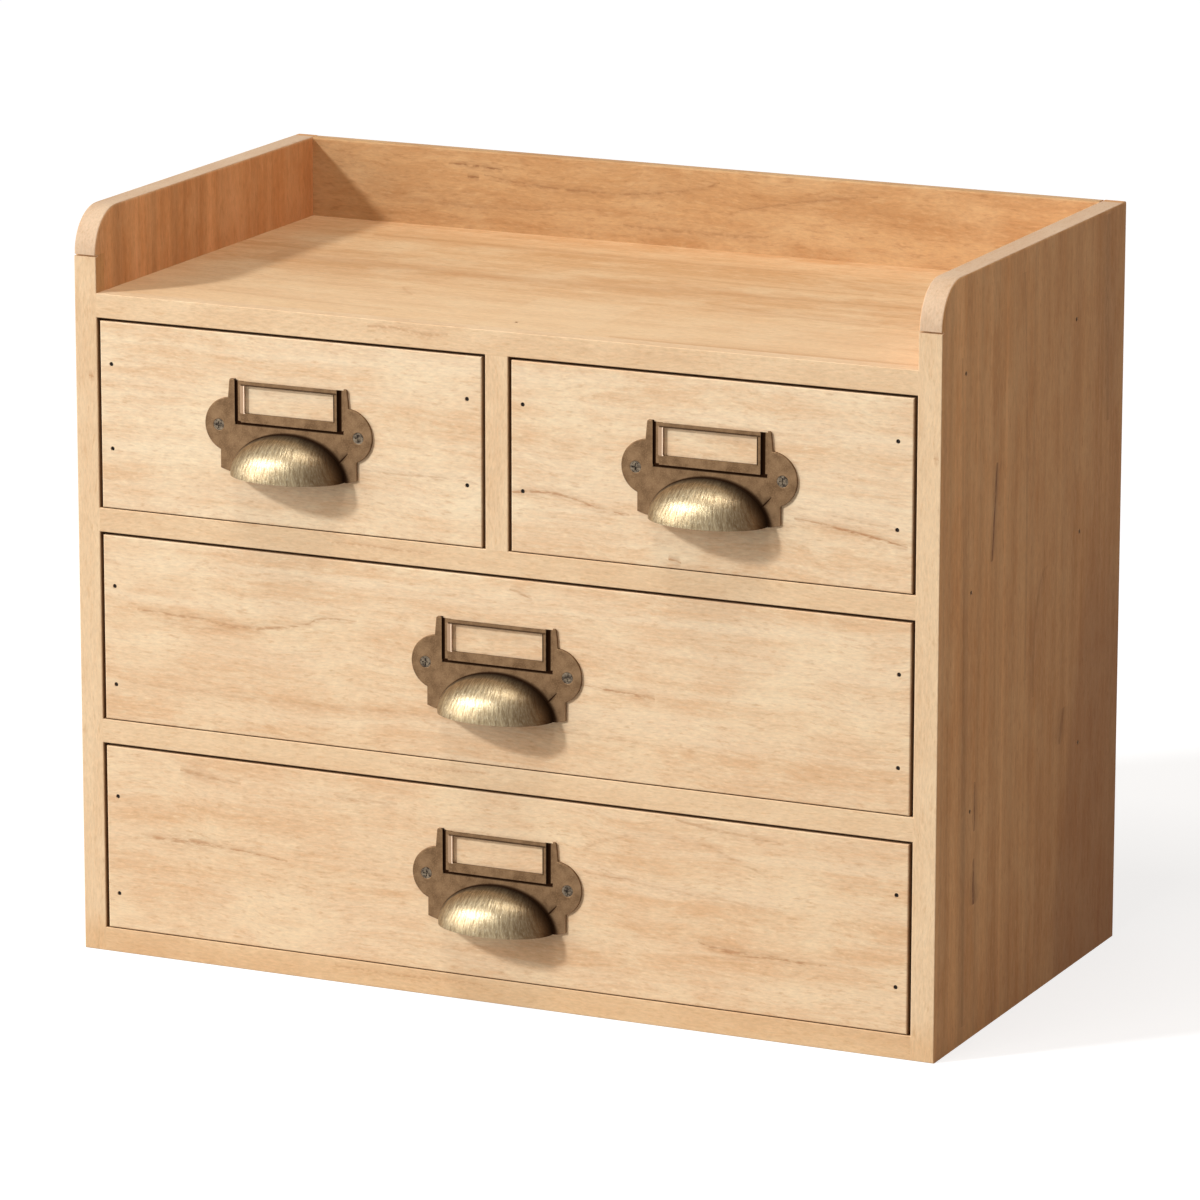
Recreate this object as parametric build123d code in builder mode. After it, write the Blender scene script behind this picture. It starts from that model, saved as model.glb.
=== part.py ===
from build123d import *
from math import atan, degrees
import os

os.makedirs("parts", exist_ok=True)

# A desktop chest of four small drawers under an open tray.
# Millimetres. X runs left to right, the front faces -Y and Z is up.
# The origin is the middle of the case's footprint, on the surface it stands on.

# Case
case_width = 340.0
case_depth = 177.0
side_thickness = 9.0          # the frame's stiles are as wide
shelf_thickness = 9.0         # bottom, shelves and tray floor; the frame's rails are as high
divider_thickness = 9.0       # board between the upper drawers; the mullion is as wide
back_thickness = 5.0
frame_thickness = 6.0         # one-piece face frame on the front edges of the boards
opening_height = 70.7         # clear height of every drawer opening
tray_wall_height = 30.4       # sides and back above the tray floor
nose_radius = 16.5            # rounded upper front corner of each side
case_arris = 0.8              # softened outer edges of the sides and back
frame_arris = 0.4             # softened front edges of the face frame
seam_height = 0.7             # open line between a stile's top and the side's nose
seam_depth = 1.5

# Drawers
drawer_side_gap = 1.3         # front and box to the opening, on each side
drawer_top_gap = 1.0
drawer_bottom_gap = 0.35      # the sides run on the shelf, the front clears it
drawer_rear_gap = 0.3         # drawer back to back panel when shut
drawer_front_thickness = 9.0
drawer_front_arris = 0.5
drawer_side_thickness = 9.0
drawer_side_height = 63.0
drawer_back_thickness = 8.0
drawer_bottom_thickness = 3.0
groove_height = 4.0           # drawer bottom's underside above the sides' lower edges
groove_depth = 3.5
groove_play = 0.2             # room over and round the drawer bottom in its grooves

# Brads: headless pins set a little below the surface
brad_radius = 0.75
brad_length = 20.0
brad_recess = 0.4
brad_play = 0.05
brad_tip_room = 0.3
tray_brad_inset = 17.0        # brad from the tray floor into the divider, from the front
back_brad_spread = 120.0      # outer brads in the back panel, from the middle
divider_brad_inset = 22.0     # back panel brads into the divider, from its ends
rear_corner_brads = (16.0, 48.0)

# Side brads at each board: distances from the front
tray_floor_brads = (22.0, 128.0)
upper_shelf_brads = (29.5, 134.5)
lower_shelf_brads = (31.0, 136.5)

# Brads in a drawer front: distances from its edge, and heights above its running surface
front_brad_inset = 4.5
upper_right_brad_inset = 5.8  # right-hand brads of the two upper drawers
upper_brad_low = 22.6
upper_brad_high = 54.0
lower_left_brad_low = 13.7    # the two wide drawers
lower_right_brad_low = 17.2
lower_brad_high = 50.8

# Pull: stamped plate with round ears, a raised card frame and a half-dome cup.
# Heights are measured from the line through its two screws.
plate_thickness = 0.9
plate_arris = 0.3
screw_spacing = 56.3
ear_radius = 10.1
ear_offset = 23.6             # ear centre from the pull's middle
ear_rise = 0.3
post_top = 17.4
post_half_width_top = 23.7
post_half_width_foot = 24.4
post_corner = 0.8             # rounded corners of the posts
post_inner = 21.9             # half width of the cut between the posts
slit_web = 0.3                # thin strip that closes each slit from behind
slit_web_lap = 0.8            # how far it runs in behind the card frame
lug_half_width = 27.5
lug_root = -8.0
lug_corner = -15.8
lug_round = 1.0
lug_foot = 24.0               # half width of the plate at the rim
rim_height = -16.8            # lower edge of the cup
card_offset = 0.5             # card frame and cut lie this far right of the pull's middle
card_half_width = 19.4        # outside of the raised card frame
card_bottom = 1.8
card_top = 16.8
card_side_bar = 1.4
card_bottom_bar = 3.4
card_top_bar = 1.6
card_foot = 1.2               # strip of the card frame that is joined to the plate
card_back = 0.6               # space for a card behind the frame
card_front = 1.3              # front of the card frame above the drawer
card_groove_width = 1.1
card_groove_depth = 0.5
cup_half_width = 22.5
cup_radius = 15.3             # height of the cup, and how far it stands out
cup_thickness = 1.1
cup_end_height = 0.6          # upright ends of the cup's outline, within the plate's thickness
middle_pull_rise = 1.0        # screw line above the middle of the front
lower_pull_rise = 2.0
upper_pull_rise = 0.8

# Pull screws: countersunk, set just below the plate's face
screw_head_radius = 2.1
screw_head_height = 0.7
screw_shank_radius = 1.1
screw_length = 8.0
screw_set = 0.1
screw_play = 0.1
pilot_play = 0.05
recess_width = 0.45
recess_length = 2.6
recess_depth = 0.35

# Planes of the case, worked out from the sizes above
half_width = case_width / 2
inner_half = half_width - side_thickness
front_y = -case_depth / 2
rear_y = case_depth / 2
frame_back_y = front_y + frame_thickness
panel_front_y = rear_y - back_thickness
row_pitch = opening_height + shelf_thickness
lower_floor = shelf_thickness
middle_floor = lower_floor + row_pitch
upper_floor = middle_floor + row_pitch
tray_floor_top = upper_floor + row_pitch
case_height = tray_floor_top + tray_wall_height
seam_z = case_height - nose_radius
mullion_half = divider_thickness / 2


def finish(piece, name):
    """Label a finished piece and write it to its own file."""
    piece.part.label = name
    export_step(piece.part, f"parts/{name}.step")


def board(low, high):
    """Add a plain board between its lowest and highest corners."""
    middle = tuple((a + b) / 2 for a, b in zip(low, high))
    size = [b - a for a, b in zip(low, high)]
    with Locations(middle):
        Box(*size)


def trench(low, high):
    """Cut the space between two corners out of the current piece."""
    middle = tuple((a + b) / 2 for a, b in zip(low, high))
    size = [b - a for a, b in zip(low, high)]
    with Locations(middle):
        Box(*size, mode=Mode.SUBTRACT)


def rod(start, direction, radius, length, mode=Mode.ADD):
    """A round rod from a start point, added to or cut from the current piece."""
    with Locations(Plane(origin=start, z_dir=direction)):
        Cylinder(radius, length, align=(Align.CENTER, Align.CENTER, Align.MIN), mode=mode)


def brad_holes(brads):
    """Cut the holes of brads given as (surface point, direction)."""
    depth = brad_recess + brad_length + brad_tip_room
    for point, direction in brads:
        rod(point, direction, brad_radius + brad_play, depth, Mode.SUBTRACT)


def brad_pins(brads):
    """Add the brads themselves, each set below its surface."""
    for point, direction in brads:
        start = Vector(*point) + Vector(*direction) * brad_recess
        rod(start, direction, brad_radius, brad_length)


# Where the case's brads go
def side_brads(sign, floor, depths):
    """Brads through one side into the end of the board whose top is at a floor height."""
    middle = floor - shelf_thickness / 2
    return [((sign * half_width, front_y + d, middle), (-sign, 0, 0)) for d in depths]


def back_brads(floor):
    """Brads through the back panel into a board's rear edge."""
    middle = floor - shelf_thickness / 2
    spots = (-back_brad_spread, 0.0, back_brad_spread)
    return [((x, rear_y, middle), (0, -1, 0)) for x in spots]


side_brad_rows = {
    "tray_floor": (tray_floor_top, tray_floor_brads),
    "upper_shelf": (upper_floor, upper_shelf_brads),
    "lower_shelf": (middle_floor, lower_shelf_brads),
}
case_side_brads = {
    (row, sign): side_brads(sign, *side_brad_rows[row]) for row in side_brad_rows for sign in (-1, 1)
}
board_tops = {
    "bottom_board": lower_floor,
    "lower_shelf": middle_floor,
    "upper_shelf": upper_floor,
    "tray_floor": tray_floor_top,
}
case_back_brads = {name: back_brads(top) for name, top in board_tops.items()}
tray_brad = [((0, front_y + tray_brad_inset, tray_floor_top), (0, 0, -1))]
divider_brad_heights = (
    upper_floor + divider_brad_inset,
    upper_floor + opening_height - divider_brad_inset,
)
divider_back_brads = [((0, rear_y, z), (0, -1, 0)) for z in divider_brad_heights]


# Case sides
for side_name, sign in (("left_side", -1), ("right_side", 1)):
    inner_x = sign * inner_half
    with BuildPart() as case_side:
        with BuildSketch(Plane.YZ.offset(min(inner_x, sign * half_width))):
            with BuildLine():
                Polyline(
                    (front_y + nose_radius, case_height),
                    (rear_y, case_height),
                    (rear_y, 0),
                    (frame_back_y, 0),
                    (frame_back_y, seam_z),
                    (front_y, seam_z),
                )
                CenterArc((front_y + nose_radius, seam_z), nose_radius, 90, 90)
            make_face()
        extrude(amount=side_thickness)
        long_edges = case_side.edges().filter_by(lambda e: abs(e.tangent_at(0.5).X) < 0.5)
        rim_edges = long_edges.filter_by(lambda e: e.center().Z > seam_z)
        outer_rear = long_edges.filter_by(Axis.Z).sort_by(Axis.Y)[-2:].sort_by(Axis.X)
        fillet(rim_edges + [outer_rear[-1 if sign > 0 else 0]], case_arris)
        for row in side_brad_rows:
            brad_holes(case_side_brads[row, sign])
    finish(case_side, side_name)

# Face frame
drawer_openings = {
    "upper_left": (-inner_half, -mullion_half, upper_floor),
    "upper_right": (mullion_half, inner_half, upper_floor),
    "middle": (-inner_half, inner_half, middle_floor),
    "lower": (-inner_half, inner_half, lower_floor),
}
frame_plane = Plane(origin=(0, frame_back_y, 0), x_dir=(1, 0, 0), z_dir=(0, -1, 0))
with BuildPart() as face_frame:
    with BuildSketch(frame_plane):
        with Locations((0, seam_z / 2)):
            Rectangle(case_width, seam_z)
        with Locations((0, (tray_floor_top + seam_z) / 2)):
            Rectangle(2 * inner_half, seam_z - tray_floor_top, mode=Mode.SUBTRACT)
        for left, right, floor in drawer_openings.values():
            with Locations(((left + right) / 2, floor + opening_height / 2)):
                Rectangle(right - left, opening_height, mode=Mode.SUBTRACT)
    extrude(amount=frame_thickness)
    front_edges = face_frame.faces().sort_by(Axis.Y)[0].edges()
    fillet(front_edges.filter_by(lambda e: e.center().Z < seam_z - frame_arris), frame_arris)
    for sign in (-1, 1):
        xs = sorted((sign * inner_half, sign * half_width))
        trench((xs[0], front_y, seam_z - seam_height), (xs[1], front_y + seam_depth, seam_z))
finish(face_frame, "face_frame")

# Boards between the sides
for board_name, top in board_tops.items():
    with BuildPart() as case_board:
        board((-inner_half, frame_back_y, top - shelf_thickness), (inner_half, panel_front_y, top))
        for sign in (-1, 1):
            brad_holes(case_side_brads.get((board_name, sign), []))
        brad_holes(case_back_brads[board_name])
        if board_name == "tray_floor":
            brad_holes(tray_brad)
    finish(case_board, board_name)

with BuildPart() as centre_divider:
    board(
        (-mullion_half, frame_back_y, upper_floor),
        (mullion_half, panel_front_y, upper_floor + opening_height),
    )
    brad_holes(tray_brad)
    brad_holes(divider_back_brads)
finish(centre_divider, "centre_divider")

with BuildPart() as back_panel:
    board((-inner_half, panel_front_y, 0), (inner_half, rear_y, case_height))
    fillet(back_panel.edges().filter_by(Axis.X).group_by(Axis.Z)[-1], case_arris)
    for brads in case_back_brads.values():
        brad_holes(brads)
    brad_holes(divider_back_brads)
finish(back_panel, "back_panel")

# Case brads
with BuildPart() as side_brad_set:
    for brads in case_side_brads.values():
        brad_pins(brads)
finish(side_brad_set, "case_side_brads")

with BuildPart() as back_brad_set:
    for brads in case_back_brads.values():
        brad_pins(brads)
    brad_pins(divider_back_brads)
finish(back_brad_set, "back_panel_brads")

with BuildPart() as tray_brad_set:
    brad_pins(tray_brad)
finish(tray_brad_set, "tray_floor_brad")


class Drawer:
    """Places of one drawer's pieces, worked out from its opening."""

    def __init__(self, opening, left_brads, right_brads, pull_rise):
        left, right, floor = opening
        self.left = left + drawer_side_gap
        self.right = right - drawer_side_gap
        self.floor = floor
        self.front_low = floor + drawer_bottom_gap
        self.front_high = floor + opening_height - drawer_top_gap
        self.inner_left = self.left + drawer_side_thickness
        self.inner_right = self.right - drawer_side_thickness
        self.box_front = front_y + drawer_front_thickness
        self.box_rear = panel_front_y - drawer_rear_gap
        self.inner_rear = self.box_rear - drawer_back_thickness
        self.side_top = floor + drawer_side_height
        self.groove_low = floor + groove_height
        self.groove_high = self.groove_low + drawer_bottom_thickness + groove_play
        self.brads = {-1: left_brads, 1: right_brads}
        middle = (self.left + self.right) / 2
        self.pull_centre = (middle, front_y, (self.front_low + self.front_high) / 2 + pull_rise)

    def front_brads(self, sign):
        """Brads through the front into the end of one side."""
        edge = self.left if sign < 0 else self.right
        inset, *heights = self.brads[sign]
        return [((edge - sign * inset, front_y, self.floor + h), (0, 1, 0)) for h in heights]

    def rear_brads(self, sign):
        """Brads through one side into the end of the back."""
        edge = self.left if sign < 0 else self.right
        y = self.box_rear - drawer_back_thickness / 2
        return [((edge, y, self.floor + h), (-sign, 0, 0)) for h in rear_corner_brads]

    def screw_points(self):
        """Where the pull's two screws meet the drawer front."""
        x, y, z = self.pull_centre
        return [(x + sign * screw_spacing / 2, y, z) for sign in (-1, 1)]


upper_brads = (
    (front_brad_inset, upper_brad_low, upper_brad_high),
    (upper_right_brad_inset, upper_brad_low, upper_brad_high),
)
lower_brads = (
    (front_brad_inset, lower_left_brad_low, lower_brad_high),
    (front_brad_inset, lower_right_brad_low, lower_brad_high),
)
drawers = {
    "upper_left": Drawer(drawer_openings["upper_left"], *upper_brads, upper_pull_rise),
    "upper_right": Drawer(drawer_openings["upper_right"], *upper_brads, upper_pull_rise),
    "middle": Drawer(drawer_openings["middle"], *lower_brads, middle_pull_rise),
    "lower": Drawer(drawer_openings["lower"], *lower_brads, lower_pull_rise),
}


def drawer_front(d):
    """Front board with its groove, brad holes and pull screw holes."""
    with BuildPart() as front:
        board((d.left, front_y, d.front_low), (d.right, d.box_front, d.front_high))
        fillet(front.faces().sort_by(Axis.Y)[0].edges(), drawer_front_arris)
        trench(
            (d.inner_left - groove_depth, d.box_front - groove_depth, d.groove_low),
            (d.inner_right + groove_depth, d.box_front, d.groove_high),
        )
        for sign in (-1, 1):
            brad_holes(d.front_brads(sign))
        for point in d.screw_points():
            pilot = screw_length - screw_set
            rod(point, (0, 1, 0), screw_shank_radius + pilot_play, pilot, Mode.SUBTRACT)
    return front


def drawer_side(d, sign):
    """One side board, grooved on its inner face."""
    outer = d.left if sign < 0 else d.right
    inner = d.inner_left if sign < 0 else d.inner_right
    xs = sorted((outer, inner))
    groove = sorted((inner, inner + sign * groove_depth))
    with BuildPart() as side:
        board((xs[0], d.box_front, d.floor), (xs[1], d.box_rear, d.side_top))
        trench((groove[0], d.box_front, d.groove_low), (groove[1], d.box_rear, d.groove_high))
        brad_holes(d.front_brads(sign))
        brad_holes(d.rear_brads(sign))
    return side


def drawer_back(d):
    """Back board between the sides, grooved on its inner face."""
    with BuildPart() as back:
        board((d.inner_left, d.inner_rear, d.floor), (d.inner_right, d.box_rear, d.side_top))
        trench(
            (d.inner_left, d.inner_rear, d.groove_low),
            (d.inner_right, d.inner_rear + groove_depth, d.groove_high),
        )
        for sign in (-1, 1):
            brad_holes(d.rear_brads(sign))
    return back


def drawer_bottom(d):
    """Thin panel held in the grooves of all four boards."""
    reach = groove_depth - groove_play
    with BuildPart() as bottom:
        board(
            (d.inner_left - reach, d.box_front - reach, d.groove_low),
            (d.inner_right + reach, d.inner_rear + reach, d.groove_low + drawer_bottom_thickness),
        )
    return bottom


def drawer_brads(d):
    """Every brad of one drawer."""
    with BuildPart() as pins:
        for sign in (-1, 1):
            brad_pins(d.front_brads(sign))
            brad_pins(d.rear_brads(sign))
    return pins


def half_oval(half_width, height, base):
    """Upper half of an oval over a base line: short upright ends and two smooth quarters."""
    bulge = 4 / 3 * (2 ** 0.5 - 1)
    low = base + cup_end_height
    top = base + height
    for sign in (1, -1):
        end = sign * half_width
        Line((end, base), (end, low))
        Bezier((end, low), (end, low + bulge * (top - low)), (bulge * end, top), (0, top))
    Line((-half_width, base), (half_width, base))


def pull(d):
    """Stamped pull: plate, card frame and cup in one piece."""
    face = Plane(origin=d.pull_centre, x_dir=(1, 0, 0), z_dir=(0, -1, 0))
    cup_axis = Axis(face.from_local_coords((0, rim_height, 0)), (1, 0, 0))
    with BuildPart() as piece:
        # plate with ears and lugs
        with BuildSketch(face) as plate:
            with BuildLine():
                Polyline(
                    (-post_half_width_top, post_top),
                    (post_half_width_top, post_top),
                    (post_half_width_foot, ear_radius),
                    (post_half_width_foot, lug_root),
                    (lug_half_width, lug_root),
                    (lug_half_width, lug_corner),
                    (lug_foot, rim_height),
                    (-lug_foot, rim_height),
                    (-lug_half_width, lug_corner),
                    (-lug_half_width, lug_root),
                    (-post_half_width_foot, lug_root),
                    (-post_half_width_foot, ear_radius),
                    close=True,
                )
            make_face()
            corner_rows = plate.vertices().group_by(Axis.Y)
            fillet(corner_rows[-1], post_corner)
            fillet(corner_rows[1], lug_round)
            with Locations((-ear_offset, ear_rise), (ear_offset, ear_rise)):
                Circle(ear_radius)
            slot_floor = card_bottom + card_foot
            with Locations((card_offset, (slot_floor + post_top) / 2)):
                Rectangle(2 * post_inner, post_top - slot_floor, mode=Mode.SUBTRACT)
            for sign in (-1, 1):
                slit_middle = card_offset + sign * (card_half_width + post_inner) / 2
                with Locations((slit_middle, slot_floor - card_foot / 2)):
                    Rectangle(post_inner - card_half_width, card_foot, mode=Mode.SUBTRACT)
        extrude(amount=plate_thickness)
        rim = piece.faces().sort_by(Axis.Y)[0].outer_wire().edges()
        lowest = d.pull_centre[2] + rim_height
        fillet(rim.filter_by(lambda e: e.center().Z > lowest + plate_arris), plate_arris)
        # thin strips behind the slits
        with BuildSketch(face):
            for sign in (-1, 1):
                middle = card_offset + sign * (card_half_width - slit_web_lap + post_inner) / 2
                with Locations((middle, (card_bottom + card_top) / 2)):
                    Rectangle(post_inner - card_half_width + slit_web_lap, card_top - card_bottom)
        extrude(amount=slit_web)
        # card frame, joined to the plate along its foot
        with BuildSketch(face.offset(card_back)):
            with Locations((card_offset, (card_bottom + card_top) / 2)):
                Rectangle(2 * card_half_width, card_top - card_bottom)
            window_low = card_bottom + card_bottom_bar
            window_high = card_top - card_top_bar
            with Locations((card_offset, (window_low + window_high) / 2)):
                window_width = 2 * (card_half_width - card_side_bar)
                Rectangle(window_width, window_high - window_low, mode=Mode.SUBTRACT)
        extrude(amount=card_front - card_back)
        # line pressed into the plate under the card frame, from slit to slit
        with BuildSketch(face.offset(plate_thickness - card_groove_depth)):
            with Locations((card_offset, card_bottom - card_groove_width / 2)):
                Rectangle(2 * post_inner, card_groove_width)
        extrude(amount=card_groove_depth, mode=Mode.SUBTRACT)
        # cup: a quarter of an ellipsoid, hollowed from behind
        for inset, mode in ((0, Mode.ADD), (cup_thickness, Mode.SUBTRACT)):
            with BuildSketch(face):
                with BuildLine():
                    half_oval(cup_half_width - inset, cup_radius - inset, rim_height)
                make_face()
            revolve(axis=cup_axis, revolution_arc=90, mode=mode)
        # countersunk screw holes
        sink = degrees(2 * atan((screw_head_radius - screw_shank_radius) / screw_head_height))
        for point in d.screw_points():
            with Locations(Plane(origin=point, z_dir=(0, -1, 0)).offset(plate_thickness)):
                CounterSinkHole(
                    screw_shank_radius + screw_play,
                    screw_head_radius + screw_play + screw_set,
                    plate_thickness,
                    sink,
                )
    return piece


def pull_screws(d):
    """Both countersunk screws of a pull, with crossed recesses."""
    with BuildPart() as screws:
        for x, y, z in d.screw_points():
            head_y = y - plate_thickness + screw_set
            with BuildSketch(Plane.XY.offset(z)):
                with BuildLine():
                    Polyline(
                        (x, head_y),
                        (x + screw_head_radius, head_y),
                        (x + screw_shank_radius, head_y + screw_head_height),
                        (x + screw_shank_radius, head_y + screw_length - screw_shank_radius),
                        (x, head_y + screw_length),
                        close=True,
                    )
                make_face()
            revolve(axis=Axis((x, y, z), (0, 1, 0)))
            for width, height in ((recess_length, recess_width), (recess_width, recess_length)):
                trench(
                    (x - width / 2, head_y, z - height / 2),
                    (x + width / 2, head_y + recess_depth, z + height / 2),
                )
    return screws


for drawer_name, d in drawers.items():
    finish(drawer_front(d), f"{drawer_name}_drawer_front")
    finish(drawer_side(d, -1), f"{drawer_name}_drawer_left_side")
    finish(drawer_side(d, 1), f"{drawer_name}_drawer_right_side")
    finish(drawer_back(d), f"{drawer_name}_drawer_back")
    finish(drawer_bottom(d), f"{drawer_name}_drawer_bottom")
    finish(drawer_brads(d), f"{drawer_name}_drawer_brads")
    finish(pull(d), f"{drawer_name}_pull")
    finish(pull_screws(d), f"{drawer_name}_pull_screws")
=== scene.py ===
from math import cos, pi, radians, sin

import bpy
from mathutils import Matrix, Vector

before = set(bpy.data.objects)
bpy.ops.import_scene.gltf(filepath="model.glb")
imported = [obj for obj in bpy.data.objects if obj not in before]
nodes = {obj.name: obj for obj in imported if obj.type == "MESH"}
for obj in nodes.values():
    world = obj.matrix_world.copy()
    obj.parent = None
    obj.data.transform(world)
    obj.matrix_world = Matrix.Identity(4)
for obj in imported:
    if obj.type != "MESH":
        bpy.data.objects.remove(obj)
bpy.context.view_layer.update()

# The row's frame: X to the right, the front faces -Y, Z up, the desk at Z = 0. Metres,
# except inside the materials, where lengths are millimetres.
DRAWERS = ("upper_left", "upper_right", "middle", "lower")

# Sizes that the materials follow, in millimetres
FRONT_Y = -88.5              # front face of the frame and the drawers
INNER_X = 161.0              # inner faces of the case sides
OUTER_X = 169.0              # just inside the outer faces
TRAY_Z = 248.0               # top of the tray floor
OPENINGS_LOW = 8.5           # under the lowest opening
MULLION_HALF = 4.6
MULLION_LOW = 168.4
MULLION_HIGH = 239.0
REAR_Y = 85.0                # the sides' rear edges lie behind this
CUP_HALF_WIDTH = 22.5
CUP_RADIUS = 15.3
CUP_RIM = 16.8               # lower edge of the cup, below the pull's centre
CARD_OFFSET = 0.5            # the card frame lies right of the centre
PULL_CENTRES = {             # x and z
    "upper_left": (-82.75, 204.225),
    "upper_right": (82.75, 204.225),
    "middle": (0.0, 124.725),
    "lower": (0.0, 46.025),
}

# Camera, as the photograph was taken
VIEW_AZIMUTH = 24.89
VIEW_ELEVATION = 13.4413
VIEW_ROLL = -0.0695
VIEW_DISTANCE = 2.5704
VIEW_TARGET = (0.0, 0.0, 0.13925)
LENS = 209.54
SENSOR = 36.0
SHIFT = (-0.00112, -0.01848)

# Light: a key from the front left, soft boxes low on the left, on the right and overhead,
# and a plain surround. Levels are what a white face square to the lamp gives off.
KEY_LEFT = 45.0              # degrees left of the front
KEY_DISTANCE = 3.0
KEY_ELEVATION = 33.0
KEY_LEVEL = 0.70
KEY_ANGLE = 6.0              # degrees across
KEY_COLOUR = (0.94, 1.0, 1.05)
SURROUND = 0.22
SURROUND_COLOUR = (1.0, 0.86, 0.74)
SOFT_BOXES = (               # name, azimuth, elevation, distance, side, level, colour
    ("low_left", -55.0, 10.0, 2.5, 1.2, 0.46, (1.0, 0.98, 0.95)),
    ("right", 97.0, 12.0, 2.5, 1.2, 0.14, (1.0, 0.86, 0.74)),
    ("overhead", 0.0, 70.0, 1.5, 0.45, 0.31, (1.0, 0.97, 0.93)),
)
SOFT_BOX_AIM = (0.0, 0.0, 0.15)
FLOOR_ALBEDO = 0.40
FLOOR_SIDE = 12.0
FLOOR_GLOW = 0.76            # added where the floor is seen directly, so that it shows white


class Graph:
    """Builds one material's nodes, each call giving the socket that it makes."""

    def __init__(self, name):
        self.material = bpy.data.materials.new(name)
        self.material.use_nodes = True
        self.tree = self.material.node_tree
        self.tree.nodes.clear()
        self.output = self.tree.nodes.new("ShaderNodeOutputMaterial")

    def node(self, kind, settings=None, **inputs):
        made = self.tree.nodes.new(kind)
        for key, value in (settings or {}).items():
            setattr(made, key, value)
        for key, value in inputs.items():
            self.put(made, key.replace("_", " "), value)
        return made

    def put(self, made, key, value):
        socket = made.inputs[int(key)] if key.isdigit() else made.inputs[key]
        if isinstance(value, bpy.types.NodeSocket):
            self.tree.links.new(value, socket)
        else:
            socket.default_value = value

    def math(self, operation, *values, clamp=False):
        made = self.node("ShaderNodeMath", {"operation": operation, "use_clamp": clamp})
        for i, value in enumerate(values):
            self.put(made, str(i), value)
        return made.outputs[0]

    def above(self, value, limit):
        return self.math("GREATER_THAN", value, limit)

    def below(self, value, limit):
        return self.math("LESS_THAN", value, limit)

    def size(self, value):
        return self.math("ABSOLUTE", value)

    def rest(self, value):
        """What is left of 1."""
        return self.math("SUBTRACT", 1.0, value)

    def facing(self, axis):
        """How squarely a face looks along X (0), Y (1) or Z (2), from 0 to 1."""
        normal = self.node("ShaderNodeNewGeometry").outputs["Normal"]
        return self.size(self.split(normal)[axis])

    def place(self):
        """The point in the row's frame, in millimetres."""
        metres = self.node("ShaderNodeTexCoord").outputs["Object"]
        return self.stretch(metres, (1000.0, 1000.0, 1000.0))

    def split(self, vector):
        made = self.node("ShaderNodeSeparateXYZ", Vector=vector)
        return made.outputs["X"], made.outputs["Y"], made.outputs["Z"]

    def join(self, x, y, z):
        return self.node("ShaderNodeCombineXYZ", X=x, Y=y, Z=z).outputs[0]

    def stretch(self, vector, scale, shift=(0, 0, 0)):
        made = self.node("ShaderNodeMapping", Vector=vector, Scale=scale, Location=shift)
        return made.outputs["Vector"]

    def noise(self, vector, scale, detail=3.0, roughness=0.55, distortion=0.0):
        made = self.node("ShaderNodeTexNoise", Vector=vector, Scale=scale, Detail=detail,
                         Roughness=roughness, Distortion=distortion)
        return made.outputs["Fac"]

    def rescale(self, value, low, high, new_low=0.0, new_high=1.0, smooth=False):
        settings = {"interpolation_type": "SMOOTHSTEP" if smooth else "LINEAR"}
        made = self.node("ShaderNodeMapRange", settings, Value=value)
        limits = {"From Min": low, "From Max": high, "To Min": new_low, "To Max": new_high}
        for key, number in limits.items():
            made.inputs[key].default_value = number
        return made.outputs["Result"]

    def curve(self, value, points):
        """A smooth curve through (0..1, 0..1) points."""
        made = self.node("ShaderNodeFloatCurve", Value=value)
        line = made.mapping.curves[0].points
        line[0].location, line[1].location = points[0], points[-1]
        for point in points[1:-1]:
            line.new(*point)
        made.mapping.update()
        return made.outputs["Value"]

    def mix(self, amount, first, second, blend="MIX"):
        made = self.node("ShaderNodeMix", {"data_type": "RGBA", "blend_type": blend})
        self.put(made, "0", amount)
        for index, value in ((6, first), (7, second)):
            self.put(made, str(index), value)
        return made.outputs[2]

    def multiply(self, colour, value):
        return self.mix(1.0, colour, value, "MULTIPLY")

    def most(self, values):
        result = values[0]
        for value in values[1:]:
            result = self.math("MAXIMUM", result, value)
        return result

    def times(self, *values):
        result = values[0]
        for value in values[1:]:
            result = self.math("MULTIPLY", result, value)
        return result

    def between(self, value, low, high, soft):
        """1 between two limits, with soft edges."""
        rise = self.rescale(value, low - soft, low + soft, smooth=True)
        fall = self.rescale(value, high - soft, high + soft, 1.0, 0.0, smooth=True)
        return self.times(rise, fall)

    def stroke(self, u, v, points, strength=1.0):
        """Mask of a drawn mark: a soft line through (u, v, half width) points."""
        us, vs, halves = zip(*points)
        low, high, widest = min(vs), max(vs), max(halves)
        steps = [(a - us[0]) / (us[-1] - us[0]) for a in us]
        rise = max(high - low, 0.01)
        t = self.rescale(u, us[0], us[-1])
        middle = self.curve(t, [(s, (b - low) / rise) for s, b in zip(steps, vs)])
        middle = self.math("MULTIPLY_ADD", middle, rise, low)
        half = self.curve(t, [(s, c / widest) for s, c in zip(steps, halves)])
        half = self.math("MAXIMUM", self.math("MULTIPLY", half, widest), 0.02)
        off = self.math("DIVIDE", self.size(self.math("SUBTRACT", v, middle)), half)
        inside = self.times(self.above(t, 0.001), self.below(t, 0.999))
        core = self.rescale(off, 0.15, 1.3, strength, 0.0, smooth=True)
        halo = self.rescale(off, 0.5, 4.0, 0.42 * strength, 0.0, smooth=True)
        return self.times(self.math("MAXIMUM", core, halo), inside)

    def bump(self, height, strength, distance):
        made = self.node("ShaderNodeBump", Height=height, Strength=strength, Distance=distance)
        return made.outputs["Normal"]

    def finish(self, shader):
        self.tree.links.new(shader.outputs[0], self.output.inputs["Surface"])
        return self.material


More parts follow.
